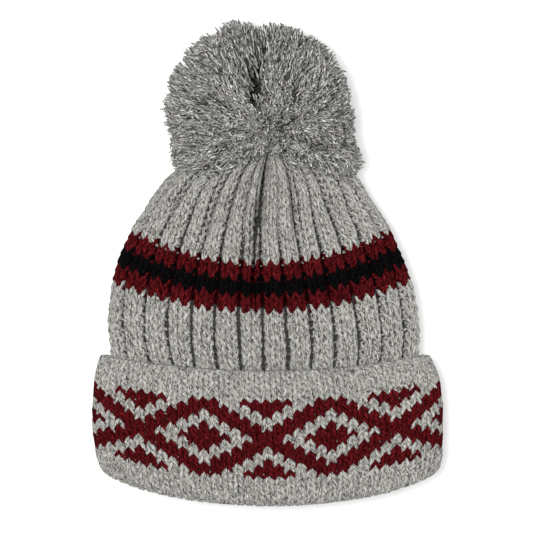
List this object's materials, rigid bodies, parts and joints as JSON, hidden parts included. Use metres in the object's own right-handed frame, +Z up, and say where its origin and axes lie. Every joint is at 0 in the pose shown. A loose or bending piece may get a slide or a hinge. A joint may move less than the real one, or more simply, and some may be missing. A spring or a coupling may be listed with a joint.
{
  "type": "pompom beanie",
  "caption": "Chunky ribbed knit beanie with a turned-up cuff, a tricolour stripe around the crown and a large yarn pompom, lying flat on its back.",
  "frame": {"origin": "on the surface that the hat lies on, under the middle of its length and width", "axes": "+Z up, out of the front of the hat; +Y along the hat from the open end to the pompom; +X to the right as seen from above with the pompom away from the viewer"},
  "size_m": [0.23, 0.3146, 0.0772],
  "materials": {
    "cuff_yarn": "plain-knit marled grey yarn, matte and slightly fuzzy",
    "body_yarn": "rib-knit marled grey yarn, matte and slightly fuzzy",
    "red_yarn": "rib-knit dark red yarn, matte",
    "black_yarn": "rib-knit black yarn, matte",
    "tie_yarn": "wound marled grey yarn, matte",
    "pompom_yarn": "cut strands of marled grey yarn, matte and fluffy"
  },
  "bodies": {
    "root": {"cuff": "cuff_yarn", "body_lower": "body_yarn", "stripe_lower_red": "red_yarn", "stripe_black": "black_yarn", "stripe_upper_red": "red_yarn", "crown": "body_yarn", "gather_tie": "tie_yarn", "pompom": "pompom_yarn"}
  },
  "joints": []
}
